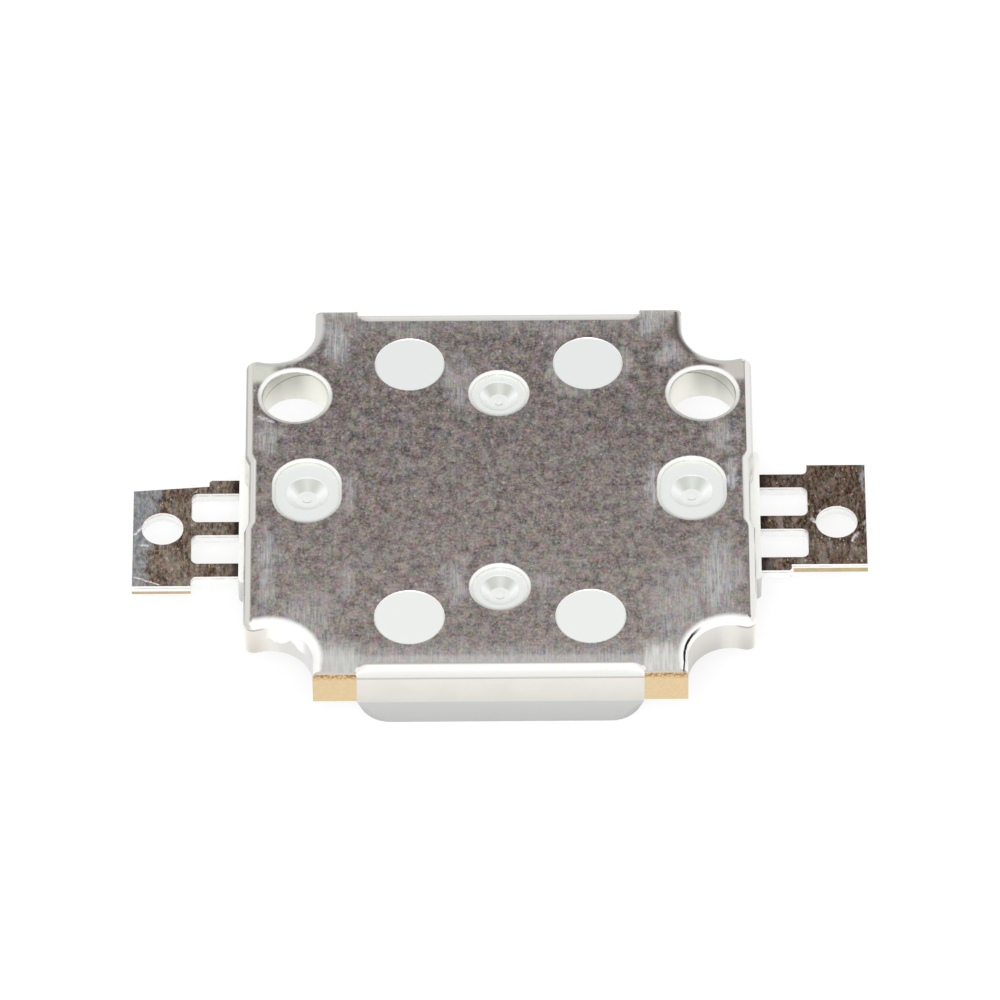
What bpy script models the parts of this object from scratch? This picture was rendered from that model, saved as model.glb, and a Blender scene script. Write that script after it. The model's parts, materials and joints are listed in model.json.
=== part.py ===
"""Ten-watt class COB LED package, lying face-down with its heat-sink plate up.

A stamped and plated copper plate carries nine LED dies on its front face. A white frame is moulded
round the light window, through eight holes of the plate and over its near and far edges. Two
stamped leads leave the frame at its sides. Silicone with phosphor covers the dies and wires.

X runs along the leads, +Y is the side with the two through holes, and z = 0 is the front rim that
the package rests on. All sizes are in metres.
"""

import math

import bmesh
import bpy
from mathutils import Matrix

MM = 0.001

# Whole package, and the clearances that stand for its bonds
PACKAGE_HEIGHT = 4.0 * MM
MOULD_GAP = 0.03 * MM
GLUE_GAP = 0.02 * MM

# How far a cutter runs past its piece, and the steps that keep two faces out of one plane
CUT_MARGIN = 1.0 * MM
PLANE_STEP = 0.002 * MM
SIDE_STEP = 0.01 * MM

# Base plate. Each place is set back from the plate's own side or end.
PLATE_WIDTH = 20.0 * MM
PLATE_LENGTH = 18.8 * MM
PLATE_THICKNESS = 1.65 * MM
SIDE_ROLL = 0.34 * MM
END_ROLL = 0.11 * MM
CORNER_NOTCH_RADIUS = 1.7 * MM
CORNER_NOTCH_X = PLATE_WIDTH / 2 - 1.02 * MM
CORNER_NOTCH_Y = PLATE_LENGTH / 2 - 0.86 * MM
CORNER_NOTCH_ROLL_WIDTH = 0.5 * MM
CORNER_NOTCH_ROLL_DEPTH = 0.28 * MM
CORNER_TIP_RADIUS = SIDE_ROLL + 0.06 * MM
SIDE_NOTCH_LENGTH = 3.0 * MM
SIDE_NOTCH_DEPTH = 0.16 * MM
SIDE_NOTCH_RAMP = 0.4 * MM
TIE_BAR_INNER_X = PLATE_WIDTH / 2 - 4.42 * MM
END_RECESS_DEPTH = 0.47 * MM
END_RECESS_FILLET = 0.45 * MM

# Light window
WINDOW_SIDE = 9.0 * MM
WINDOW_CORNER = 0.6 * MM
REFLECTOR_WIDTH = WINDOW_SIDE + 1.3 * MM
REFLECTOR_LENGTH = WINDOW_SIDE + 0.3 * MM
REFLECTOR_FLARE = 0.45 * MM
FILL_BELOW_RIM = 0.3 * MM

# Holes in the plate, with the roll that the punch left round each
THROUGH_HOLE_DIAMETER = 2.58 * MM
THROUGH_HOLE_X = PLATE_WIDTH / 2 - 1.95 * MM
THROUGH_HOLE_Y = CORNER_NOTCH_Y - 3.59 * MM
THROUGH_HOLE_ROLL_WIDTH = 0.24 * MM
THROUGH_HOLE_ROLL_DEPTH = 0.14 * MM
FLUSH_POST_DIAMETER = 2.66 * MM
FLUSH_POST_X = 3.525 * MM
FLUSH_POST_Y = PLATE_LENGTH / 2 - 2.85 * MM
FLUSH_POST_ROLL = 0.06 * MM
FLUSH_POST_SINK = 0.02 * MM
END_DISH_DIAMETER = 2.16 * MM
END_DISH_Y = WINDOW_SIDE / 2 + 0.52 * MM
SIDE_DISH_WIDTH = 2.48 * MM
SIDE_DISH_LENGTH = 3.08 * MM
SIDE_DISH_X = PLATE_WIDTH / 2 - 2.45 * MM
DISH_ROLL_WIDTH = 0.16 * MM
DISH_ROLL_DEPTH = 0.13 * MM

# Moulded posts with a dished end
DISH_LEDGE_DEPTH = 0.2 * MM
END_DISH_RIM_DIAMETER = 1.55 * MM
SIDE_DISH_RIM_DIAMETER = 1.7 * MM
DISH_FLOOR_DIAMETER = 0.85 * MM
DISH_FLOOR_DEPTH = 0.56 * MM
GATE_DOT_DIAMETER = 0.28 * MM
GATE_DOT_HEIGHT = 0.05 * MM

# Leads
LEAD_BELOW_BACK = 2.25 * MM
LEAD_THICKNESS = 0.5 * MM
LEAD_ROLL = 0.06 * MM
LEAD_SPAN = 28.9 * MM
RIGHT_LEAD_SHIFT = 0.13 * MM
TAB_INNER_X = LEAD_SPAN / 2 - 2.33 * MM
TAB_WIDTH = 5.18 * MM
TAB_OFFSET = 0.39 * MM
TAB_HOLE_DIAMETER = 1.6 * MM
TAB_HOLE_X = LEAD_SPAN / 2 - 1.18 * MM
TAB_SHOULDER_X = TAB_INNER_X - 0.65 * MM
TAB_FILLET = 0.2 * MM
LEFT_TAB_TAPER = 0.22 * MM
PRONG_WIDTH = 0.72 * MM
PRONG_PITCH = 2.15 * MM
PRONG_WINDOW_CORNER = 0.25 * MM
STRIP_INNER_X = WINDOW_SIDE / 2 + 0.06 * MM
STRIP_OUTER_X = STRIP_INNER_X + 1.19 * MM
STRIP_HALF_WIDTH = 3.5 * MM

# Moulded frame
LIP_SINK = 0.3 * MM
LIP_KNEE_BELOW_BACK = 1.75 * MM
LIP_RIM_INSET = 0.86 * MM
LIP_TOP_CORNER = 0.03 * MM
LIP_RIM_CORNER = 1.3 * MM
SIDE_ARM_REACH = PLATE_WIDTH / 2 + 0.25 * MM
SIDE_ARM_RIM_INSET = 1.0 * MM
SIDE_ARM_HALF_WIDTH = 3.3 * MM
SIDE_ARM_TOP_CORNER = 0.2 * MM
SIDE_ARM_RIM_CORNER = 0.8 * MM
SIDE_ARM_KNEE_BELOW_LEAD = 0.1 * MM
BODY_HALF_WIDTH = WINDOW_SIDE / 2 + 1.8 * MM
BODY_STRAIGHT_Y = WINDOW_SIDE / 2 + 0.3 * MM
BODY_CHAMFER = 1.1 * MM
INNER_FILLET = 0.3 * MM
RIM_EDGE = 0.06 * MM

# Dies, attach pads and wires
GRID = 3
DIE_PITCH = 2.6 * MM
DIE_SIDE = 1.14 * MM
DIE_THICKNESS = 0.15 * MM
ATTACH_SIDE = 1.24 * MM
ATTACH_THICKNESS = 0.04 * MM
WIRE_DIAMETER = 0.05 * MM
WIRE_ROOM = 0.03 * MM
DIE_WIRE_LOOP = 0.35 * MM
LEAD_WIRE_LOOP = 0.5 * MM
WIRE_PAD_INSET = 0.2 * MM
WIRE_FOOT_X = STRIP_INNER_X + 0.3 * MM
WIRE_STEPS = 10

# Fineness of round shapes
ARC_STEP = math.radians(9)
ROUND_SEGMENTS = 36
DISH_SEGMENTS = 28
ROLL_STEPS = 3
SMALL_ROLL_STEPS = 1
CORNER_STEPS = 8
POINT_MERGE = 0.0005 * MM
SHARP_ANGLE = math.radians(32)

# Levels and edges worked out from the sizes above
BACK_Z = PACKAGE_HEIGHT
FRONT_Z = BACK_Z - PLATE_THICKNESS
FRAME_SEAT_Z = FRONT_Z - MOULD_GAP
LIP_TOP_Z = BACK_Z - LIP_SINK
LIP_KNEE_Z = BACK_Z - LIP_KNEE_BELOW_BACK
LEAD_TOP_Z = BACK_Z - LEAD_BELOW_BACK
LEAD_LOW_Z = LEAD_TOP_Z - LEAD_THICKNESS
SIDE_ARM_KNEE_Z = LEAD_LOW_Z - SIDE_ARM_KNEE_BELOW_LEAD
ATTACH_LOW_Z = FRONT_Z - GLUE_GAP - ATTACH_THICKNESS
DIE_TOP_Z = ATTACH_LOW_Z - GLUE_GAP
DIE_LOW_Z = DIE_TOP_Z - DIE_THICKNESS
SHEAR_Y = PLATE_LENGTH / 2
LIP_HALF_WIDTH = TIE_BAR_INNER_X - SIDE_STEP


def make_collection(name):
    collection = bpy.data.collections.new(name)
    bpy.context.scene.collection.children.link(collection)
    return collection


for leftover in list(bpy.data.objects):
    bpy.data.objects.remove(leftover)
PARTS = make_collection("cob_led_chip")
CUTTERS = make_collection("cutters")
CUTTERS.hide_render = True


def make_material(name, color, metallic, roughness):
    material = bpy.data.materials.new(name)
    material.use_nodes = True
    shader = material.node_tree.nodes["Principled BSDF"]
    shader.inputs["Base Color"].default_value = (*color, 1.0)
    shader.inputs["Metallic"].default_value = metallic
    shader.inputs["Roughness"].default_value = roughness
    return material


# Outlines, as lists of (x, y) points


def without_repeats(points):
    kept = []
    for point in points:
        if not kept or math.dist(point, kept[-1]) > POINT_MERGE:
            kept.append(point)
    if math.dist(kept[0], kept[-1]) < POINT_MERGE:
        kept.pop()
    return kept


def arc(centre, radius, start, end, steps=0):
    """Points of an arc between two angles, both ends included."""
    steps = steps or max(2, round(abs(end - start) / ARC_STEP))
    angles = [start + (end - start) * i / steps for i in range(steps + 1)]
    return [(centre[0] + radius * math.cos(a), centre[1] + radius * math.sin(a)) for a in angles]


def rounded_rectangle(width, length, radius):
    right = width / 2 - radius
    far = length / 2 - radius
    quarter_turn = math.pi / 2
    points = arc((right, far), radius, 0.0, quarter_turn)
    points += arc((-right, far), radius, quarter_turn, 2 * quarter_turn)
    points += arc((-right, -far), radius, 2 * quarter_turn, 3 * quarter_turn)
    points += arc((right, -far), radius, 3 * quarter_turn, 4 * quarter_turn)
    return points


def mirrored_round(quarter):
    """The closed outline whose first quarter is given, from the +X side round to the +Y side."""
    upper = quarter + [(-x, y) for x, y in reversed(quarter)]
    lower = [(-x, -y) for x, y in upper]
    return without_repeats(upper + lower)


# Solids


def link(name, data, collection):
    """A new object in this collection, or among the cutters where none is given."""
    obj = bpy.data.objects.new(name, data)
    (collection or CUTTERS).objects.link(obj)
    return obj


def mesh_of_curve(curve, lift=0.0):
    """The closed mesh that a bevelled curve gives, raised by lift and with its seams merged."""
    source = link(curve.name + "_curve", curve, CUTTERS)
    graph = bpy.context.evaluated_depsgraph_get()
    mesh = bpy.data.meshes.new_from_object(source.evaluated_get(graph))
    bpy.data.objects.remove(source)
    shape = bmesh.new()
    shape.from_mesh(mesh)
    bmesh.ops.remove_doubles(shape, verts=shape.verts, dist=POINT_MERGE)
    bmesh.ops.translate(shape, verts=shape.verts, vec=(0.0, 0.0, lift))
    bmesh.ops.recalc_face_normals(shape, faces=shape.faces)
    shape.to_mesh(mesh)
    shape.free()
    return mesh


def sheet(name, outlines, low, high, roll=0.0, grow=0.0, steps=ROLL_STEPS, collection=None):
    """A flat piece between two levels, from an outline and its holes.

    roll rounds its upper and lower edges, and grow moves every edge outwards."""
    curve = bpy.data.curves.new(name, "CURVE")
    curve.dimensions = "2D"
    curve.fill_mode = "BOTH"
    curve.extrude = (high - low) / 2 - roll
    curve.bevel_depth = roll
    curve.bevel_resolution = steps
    curve.offset = grow - roll
    for outline in outlines:
        spline = curve.splines.new("POLY")
        spline.points.add(len(outline) - 1)
        for point, (x, y) in zip(spline.points, outline):
            point.co = (x, y, 0.0, 1.0)
        spline.use_cyclic_u = True
    return link(name, mesh_of_curve(curve, (low + high) / 2), collection)


def box(name, low, high, collection=None):
    mesh = bpy.data.meshes.new(name)
    shape = bmesh.new()
    bmesh.ops.create_cube(shape, size=1.0)
    bmesh.ops.scale(shape, verts=shape.verts, vec=[b - a for a, b in zip(low, high)])
    bmesh.ops.translate(shape, verts=shape.verts, vec=[(a + b) / 2 for a, b in zip(low, high)])
    shape.to_mesh(mesh)
    shape.free()
    return link(name, mesh, collection)


def turned(name, profile, segments, centre, stretch=0.0):
    """A solid turned round Z from (radius, z) pairs, listed from the top down.

    stretch pulls its halves apart along Y, so a round becomes an obround."""
    mesh = bpy.data.meshes.new(name)
    shape = bmesh.new()
    points = [shape.verts.new((radius, 0.0, z)) for radius, z in profile]
    edges = [shape.edges.new(pair) for pair in zip(points, points[1:])]
    bmesh.ops.spin(
        shape,
        geom=points + edges,
        cent=(0.0, 0.0, 0.0),
        axis=(0.0, 0.0, 1.0),
        angle=2 * math.pi,
        steps=segments,
        use_merge=True,
    )
    bmesh.ops.remove_doubles(shape, verts=shape.verts, dist=POINT_MERGE)
    half_step = Matrix.Rotation(math.pi / segments, 3, "Z")
    bmesh.ops.rotate(shape, verts=shape.verts, cent=(0.0, 0.0, 0.0), matrix=half_step)
    rims = [edge for edge in shape.edges if edge.is_boundary]
    if rims:
        bmesh.ops.holes_fill(shape, edges=rims)
    for vertex in shape.verts:
        if abs(vertex.co.y) > POINT_MERGE:
            vertex.co.y += math.copysign(stretch / 2, vertex.co.y)
    bmesh.ops.translate(shape, verts=shape.verts, vec=(*centre, 0.0))
    bmesh.ops.recalc_face_normals(shape, faces=shape.faces)
    shape.to_mesh(mesh)
    shape.free()
    return link(name, mesh, CUTTERS)


def loft(name, rings, collection=None):
    """A closed solid through outlines of equal point count, given as (z, points) pairs."""
    mesh = bpy.data.meshes.new(name)
    shape = bmesh.new()
    loops = [[shape.verts.new((x, y, z)) for x, y in points] for z, points in rings]
    for lower, upper in zip(loops, loops[1:]):
        for i in range(len(lower)):
            shape.faces.new((lower[i - 1], lower[i], upper[i], upper[i - 1]))
    shape.faces.new(reversed(loops[0]))
    shape.faces.new(loops[-1])
    bmesh.ops.recalc_face_normals(shape, faces=shape.faces)
    shape.to_mesh(mesh)
    shape.free()
    return link(name, mesh, collection)


def modify(obj, operation, other):
    other.hide_render = True
    other.display_type = "WIRE"
    modifier = obj.modifiers.new(f"{operation.lower()} {other.name}", "BOOLEAN")
    modifier.operation = operation
    modifier.solver = "EXACT"
    modifier.object = other


def finish(obj, material):
    obj.data.materials.clear()
    obj.data.materials.append(material)
    obj.data.shade_smooth()
    obj.data.set_sharp_from_angle(angle=SHARP_ANGLE)
    return obj


# Base plate


def notched_outline():
    """The plate's sides and corner notches. Each notch runs on straight past the sheared end."""
    half_width = PLATE_WIDTH / 2
    tip_x = half_width - CORNER_TIP_RADIUS
    reach = CORNER_NOTCH_RADIUS + CORNER_TIP_RADIUS
    tip_y = CORNER_NOTCH_Y - math.sqrt(reach**2 - (tip_x - CORNER_NOTCH_X) ** 2)
    tip_turn = math.atan2(CORNER_NOTCH_Y - tip_y, CORNER_NOTCH_X - tip_x)
    past_y = SHEAR_Y + CUT_MARGIN
    quarter = [
        (half_width - SIDE_NOTCH_DEPTH, 0.0),
        (half_width - SIDE_NOTCH_DEPTH, SIDE_NOTCH_LENGTH / 2),
        (half_width, SIDE_NOTCH_LENGTH / 2 + SIDE_NOTCH_RAMP),
    ]
    quarter += arc((tip_x, tip_y), CORNER_TIP_RADIUS, 0.0, tip_turn)
    notch_centre = (CORNER_NOTCH_X, CORNER_NOTCH_Y)
    quarter += arc(notch_centre, CORNER_NOTCH_RADIUS, tip_turn - math.pi, -math.pi)
    quarter += [(CORNER_NOTCH_X - CORNER_NOTCH_RADIUS, past_y), (0.0, past_y)]
    return mirrored_round(quarter)


def sheared_outline():
    """The plate's ends, with the tie-bar stubs and the recess between them, running on past its sides."""
    past_x = PLATE_WIDTH / 2 + CUT_MARGIN
    floor_y = SHEAR_Y - END_RECESS_DEPTH
    corner = (TIE_BAR_INNER_X - END_RECESS_FILLET, floor_y + END_RECESS_FILLET)
    quarter = [(past_x, 0.0), (past_x, SHEAR_Y), (TIE_BAR_INNER_X, SHEAR_Y)]
    quarter += arc(corner, END_RECESS_FILLET, 0.0, -math.pi / 2)
    quarter.append((0.0, floor_y))
    return mirrored_round(quarter)


def rolled_profile(radius, width, depth):
    """The roll that a punch leaves round a hole, as a quarter ellipse down from the back face."""
    profile = [(radius + width, BACK_Z + CUT_MARGIN)]
    for x, y in arc((0.0, 0.0), 1.0, math.pi / 2, math.pi, ROLL_STEPS):
        profile.append((radius + width * (1 + x), BACK_Z - depth * (1 - y)))
    return profile


def hole_cutter(name, diameter, roll_width, roll_depth, centre, stretch=0.0):
    """A punch through the plate that leaves a rolled edge on the back face."""
    profile = rolled_profile(diameter / 2, roll_width, roll_depth)
    profile.append((diameter / 2, FRONT_Z - CUT_MARGIN))
    return turned(name, profile, ROUND_SEGMENTS, centre, stretch)


def notch_roll_cutter(name, centre):
    """The wider roll that the notch punch leaves. It stops a little clear of the notch's wall."""
    radius = CORNER_NOTCH_RADIUS - MOULD_GAP
    width = CORNER_NOTCH_ROLL_WIDTH + MOULD_GAP
    profile = rolled_profile(radius, width, CORNER_NOTCH_ROLL_DEPTH)
    return turned(name, profile, ROUND_SEGMENTS, centre)


def plate_holes():
    """Cutters for every hole of the plate and for the rolls of its corner notches."""
    through_roll = (THROUGH_HOLE_ROLL_WIDTH, THROUGH_HOLE_ROLL_DEPTH)
    dish_roll = (DISH_ROLL_WIDTH, DISH_ROLL_DEPTH)
    post_roll = (FLUSH_POST_ROLL, FLUSH_POST_ROLL)
    side_stretch = SIDE_DISH_LENGTH - SIDE_DISH_WIDTH
    holes = []
    for side in (-1, 1):
        through = (side * THROUGH_HOLE_X, THROUGH_HOLE_Y)
        side_dish = (side * SIDE_DISH_X, 0.0)
        end_dish = (0.0, side * END_DISH_Y)
        holes += [
            hole_cutter(f"through_hole_{side}", THROUGH_HOLE_DIAMETER, *through_roll, through),
            hole_cutter(f"side_hole_{side}", SIDE_DISH_WIDTH, *dish_roll, side_dish, side_stretch),
            hole_cutter(f"end_hole_{side}", END_DISH_DIAMETER, *dish_roll, end_dish),
        ]
        for end in (-1, 1):
            name = f"{side}_{end}"
            centre = (side * FLUSH_POST_X, end * FLUSH_POST_Y)
            notch = (side * CORNER_NOTCH_X, end * CORNER_NOTCH_Y)
            holes.append(hole_cutter(f"post_hole_{name}", FLUSH_POST_DIAMETER, *post_roll, centre))
            holes.append(notch_roll_cutter(f"notch_roll_{name}", notch))
    return holes


def base_plate(material):
    """The plate: rolled sides, sheared ends, then its front face and its holes cut."""
    low = FRONT_Z - CUT_MARGIN
    plate = sheet("base_plate", [notched_outline()], low, BACK_Z, SIDE_ROLL, collection=PARTS)
    ends = sheet(
        "plate_ends",
        [sheared_outline()],
        low - CUT_MARGIN,
        BACK_Z + PLANE_STEP,
        END_ROLL,
        steps=SMALL_ROLL_STEPS,
    )
    modify(plate, "INTERSECT", ends)
    below = box(
        "plate_front",
        (-PLATE_WIDTH, -PLATE_LENGTH, low - CUT_MARGIN),
        (PLATE_WIDTH, PLATE_LENGTH, FRONT_Z),
    )
    modify(plate, "DIFFERENCE", below)
    for hole in plate_holes():
        modify(plate, "DIFFERENCE", hole)
    return finish(plate, material)


# Moulded frame


def body_ring(z, inset):
    """The body and its two side arms at one level. The arms are upright above their knee."""
    slope = max(0.0, 1 - z / SIDE_ARM_KNEE_Z)
    corner = SIDE_ARM_TOP_CORNER + (SIDE_ARM_RIM_CORNER - SIDE_ARM_TOP_CORNER) * slope
    side_x = SIDE_ARM_REACH - SIDE_ARM_RIM_INSET * slope - inset
    side_y = SIDE_ARM_HALF_WIDTH - inset
    body_x = BODY_HALF_WIDTH - inset
    quarter_turn = math.pi / 2
    fillet_centre = (body_x + INNER_FILLET, side_y + INNER_FILLET)
    quarter = arc((side_x - corner, side_y - corner), corner, 0.0, quarter_turn, CORNER_STEPS)
    quarter += arc(fillet_centre, INNER_FILLET, 3 * quarter_turn, 2 * quarter_turn, CORNER_STEPS)
    quarter.append((body_x, BODY_STRAIGHT_Y))
    quarter.append((body_x - BODY_CHAMFER, BODY_STRAIGHT_Y + BODY_CHAMFER))
    upper = quarter + [(-x, y) for x, y in reversed(quarter)]
    return z, upper + [(-x, -y) for x, y in upper]


def end_arm_ring(z, inset):
    """The bar that ends in the two lips, at one level: upright above the knee of the lips."""
    slope = max(0.0, 1 - z / LIP_KNEE_Z)
    corner = LIP_TOP_CORNER + (LIP_RIM_CORNER - LIP_TOP_CORNER) * slope
    width = 2 * (LIP_HALF_WIDTH - inset)
    length = 2 * (SHEAR_Y - LIP_RIM_INSET * slope - inset)
    return z, rounded_rectangle(width, length, corner)


def post(name, diameter, top, centre, stretch=0.0):
    radius = diameter / 2 - MOULD_GAP
    root = FRAME_SEAT_Z - MOULD_GAP
    return turned(name, [(radius, top), (radius, root)], ROUND_SEGMENTS, centre, stretch)


def dish(name, rim_diameter, centre):
    """A shallow cone below the post's ledge, with a small gate dot left standing at its middle."""
    floor = BACK_Z - DISH_FLOOR_DEPTH
    profile = [
        (rim_diameter / 2, BACK_Z),
        (rim_diameter / 2, BACK_Z - DISH_LEDGE_DEPTH),
        (DISH_FLOOR_DIAMETER / 2, floor),
        (GATE_DOT_DIAMETER / 2, floor),
        (GATE_DOT_DIAMETER / 2, floor + GATE_DOT_HEIGHT),
    ]
    return turned(name, profile, DISH_SEGMENTS, centre)


def window_shape(name, shrink, top):
    """The light window: straight beside the plate, and flared from the leads down to the rim."""
    upper_side = WINDOW_SIDE - 2 * shrink
    window = sheet(
        name,
        [rounded_rectangle(upper_side, upper_side, WINDOW_CORNER)],
        LEAD_LOW_Z / 2,
        top,
    )
    width = REFLECTOR_WIDTH - 2 * shrink
    length = REFLECTOR_LENGTH - 2 * shrink
    seat = LEAD_LOW_Z - SIDE_STEP - shrink
    flare = 2 * REFLECTOR_FLARE * (seat + CUT_MARGIN) / seat
    rings = [
        (-CUT_MARGIN, rounded_rectangle(width + flare, length + flare, WINDOW_CORNER + flare / 2)),
        (seat, rounded_rectangle(width, length, WINDOW_CORNER)),
    ]
    modify(window, "UNION", loft(name + "_reflector", rings))
    return window


def lead_room(side):
    """The lead's own shape, grown by the moulding gap, that the frame is moulded round."""
    low = LEAD_LOW_Z - MOULD_GAP
    high = LEAD_TOP_Z + MOULD_GAP
    return sheet(f"lead_room_{side}", lead_outlines(side), low, high, grow=MOULD_GAP)


def housing_frame(material):
    """The body and lips, less the plate's room, then the posts through the plate and the cuts."""
    body_levels = [(0.0, RIM_EDGE), (RIM_EDGE, 0.0), (SIDE_ARM_KNEE_Z, 0.0), (LIP_TOP_Z, 0.0)]
    frame = loft("housing_frame", [body_ring(*level) for level in body_levels], PARTS)
    arm_levels = [(0.0, RIM_EDGE), (RIM_EDGE, 0.0), (LIP_KNEE_Z, 0.0), (LIP_TOP_Z, 0.0)]
    modify(frame, "UNION", loft("end_arms", [end_arm_ring(*level) for level in arm_levels]))
    plate_room = sheet(
        "plate_room",
        [sheared_outline()],
        FRAME_SEAT_Z,
        BACK_Z + CUT_MARGIN,
        grow=MOULD_GAP,
    )
    modify(frame, "DIFFERENCE", plate_room)
    side_stretch = SIDE_DISH_LENGTH - SIDE_DISH_WIDTH
    ledge = BACK_Z - DISH_LEDGE_DEPTH
    for side in (-1, 1):
        side_dish = (side * SIDE_DISH_X, 0.0)
        end_dish = (0.0, side * END_DISH_Y)
        posts = [
            post(f"side_post_{side}", SIDE_DISH_WIDTH, ledge, side_dish, side_stretch),
            post(f"end_post_{side}", END_DISH_DIAMETER, ledge, end_dish),
        ]
        for end in (-1, 1):
            centre = (side * FLUSH_POST_X, end * FLUSH_POST_Y)
            top = BACK_Z - FLUSH_POST_SINK
            posts.append(post(f"flush_post_{side}_{end}", FLUSH_POST_DIAMETER, top, centre))
        for stem in posts:
            modify(frame, "UNION", stem)
        modify(frame, "DIFFERENCE", dish(f"side_dish_{side}", SIDE_DISH_RIM_DIAMETER, side_dish))
        modify(frame, "DIFFERENCE", dish(f"end_dish_{side}", END_DISH_RIM_DIAMETER, end_dish))
        modify(frame, "DIFFERENCE", lead_room(side))
    modify(frame, "DIFFERENCE", window_shape("light_window", 0.0, FRONT_Z + CUT_MARGIN))
    return finish(frame, material)


# Leads


def lead_outlines(side):
    """The lead's outline and its openings.

    The left lead is the right one turned half round. The right one sits a little towards +Y."""
    taper = LEFT_TAB_TAPER if side < 0 else 0.0
    shift = RIGHT_LEAD_SHIFT if side > 0 else 0.0
    end_x = LEAD_SPAN / 2
    prong_edge = PRONG_PITCH + PRONG_WIDTH / 2
    low_y = TAB_OFFSET - TAB_WIDTH / 2
    high_y = TAB_OFFSET + TAB_WIDTH / 2
    outer = [
        (STRIP_INNER_X, -STRIP_HALF_WIDTH),
        (STRIP_OUTER_X, -STRIP_HALF_WIDTH),
        (STRIP_OUTER_X, -prong_edge),
        (TAB_SHOULDER_X - TAB_FILLET / 2, -prong_edge),
        (TAB_SHOULDER_X, -prong_edge + TAB_FILLET / 2),
        (TAB_SHOULDER_X, low_y),
        (end_x, low_y + taper),
        (end_x, high_y),
        (TAB_INNER_X, high_y),
    ]
    fillet = (TAB_INNER_X - TAB_FILLET, prong_edge + TAB_FILLET)
    outer += arc(fillet, TAB_FILLET, 0.0, -math.pi / 2)
    outer += [(STRIP_OUTER_X, prong_edge), (STRIP_OUTER_X, STRIP_HALF_WIDTH)]
    outer.append((STRIP_INNER_X, STRIP_HALF_WIDTH))
    window_length = TAB_INNER_X - STRIP_OUTER_X
    window_width = PRONG_PITCH - PRONG_WIDTH
    window_x = (TAB_INNER_X + STRIP_OUTER_X) / 2
    windows = []
    for centre_y in (-PRONG_PITCH / 2, PRONG_PITCH / 2):
        points = rounded_rectangle(window_length, window_width, PRONG_WINDOW_CORNER)
        windows.append([(x + window_x, y + centre_y) for x, y in points])
    hole_end = 2 * math.pi * (1 - 1 / ROUND_SEGMENTS)
    hole = arc((TAB_HOLE_X, 0.0), TAB_HOLE_DIAMETER / 2, 0.0, hole_end, ROUND_SEGMENTS - 1)
    outlines = [outer, *windows, hole]
    return [[(side * x, side * y + shift) for x, y in points] for points in outlines]


def lead(name, side, material):
    outlines = [without_repeats(points) for points in lead_outlines(side)]
    piece = sheet(
        name, outlines, LEAD_LOW_Z, LEAD_TOP_Z, LEAD_ROLL, steps=SMALL_ROLL_STEPS, collection=PARTS
    )
    return finish(piece, material)


# Dies, attach pads, wires and fill


def centred_slab(name, centre, side, low, high, material):
    half = side / 2
    x, y = centre
    piece = box(name, (x - half, y - half, low), (x + half, y + half, high), PARTS)
    return finish(piece, material)


def bond_wire(name, start, end, loop, y, material):
    """A wire that leaves both pads at right angles. start and end are its (x, z) feet."""
    curve = bpy.data.curves.new(name, "CURVE")
    curve.dimensions = "3D"
    curve.bevel_depth = WIRE_DIAMETER / 2
    curve.bevel_resolution = 2
    curve.use_fill_caps = True
    spline = curve.splines.new("POLY")
    spline.points.add(WIRE_STEPS)
    for i, point in enumerate(spline.points):
        t = i / WIRE_STEPS
        across = (1 - math.cos(math.pi * t)) / 2
        x = start[0] + (end[0] - start[0]) * across
        z = start[1] + (end[1] - start[1]) * t * t * (3 - 2 * t)
        point.co = (x, y, z - loop * math.sin(math.pi * t), 1.0)
    return finish(link(name, mesh_of_curve(curve), PARTS), material)


def string_of_wires(row, y, material):
    """Four wires in series: lead, three dies, lead."""
    pad = DIE_SIDE / 2 - WIRE_PAD_INSET
    die_z = DIE_LOW_Z - GLUE_GAP
    strip_z = LEAD_LOW_Z - GLUE_GAP
    feet = [(-WIRE_FOOT_X, strip_z)]
    for column in range(GRID):
        x = (column - (GRID - 1) / 2) * DIE_PITCH
        feet += [(x - pad, die_z), (x + pad, die_z)]
    feet.append((WIRE_FOOT_X, strip_z))
    for number in range(GRID + 1):
        start, end = feet[2 * number : 2 * number + 2]
        loop = LEAD_WIRE_LOOP if number in (0, GRID) else DIE_WIRE_LOOP
        bond_wire(f"bond_wire_{row + 1}_{number + 1}", start, end, loop, y, material)


def phosphor_fill(rows, material):
    """The fill, with the room in it that the dies, pads and wires take up."""
    fill = window_shape("phosphor_fill", MOULD_GAP, FRAME_SEAT_Z)
    CUTTERS.objects.unlink(fill)
    PARTS.objects.link(fill)
    half = REFLECTOR_WIDTH
    below = box("fill_level", (-half, -half, -2 * CUT_MARGIN), (half, half, FILL_BELOW_RIM))
    modify(fill, "DIFFERENCE", below)
    room_top = FRONT_Z + CUT_MARGIN
    pocket = ATTACH_SIDE / 2 + WIRE_ROOM
    slot = WIRE_DIAMETER / 2 + WIRE_ROOM
    slot_end = WIRE_FOOT_X + slot
    slot_low = LEAD_LOW_Z - LEAD_WIRE_LOOP - slot
    for row, y in enumerate(rows):
        for column, x in enumerate(rows):
            low = (x - pocket, y - pocket, DIE_LOW_Z - GLUE_GAP)
            room = box(f"die_room_{row}_{column}", low, (x + pocket, y + pocket, room_top))
            modify(fill, "DIFFERENCE", room)
        low = (-slot_end, y - slot, slot_low)
        modify(fill, "DIFFERENCE", box(f"wire_room_{row}", low, (slot_end, y + slot, room_top)))
    return finish(fill, material)


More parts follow.
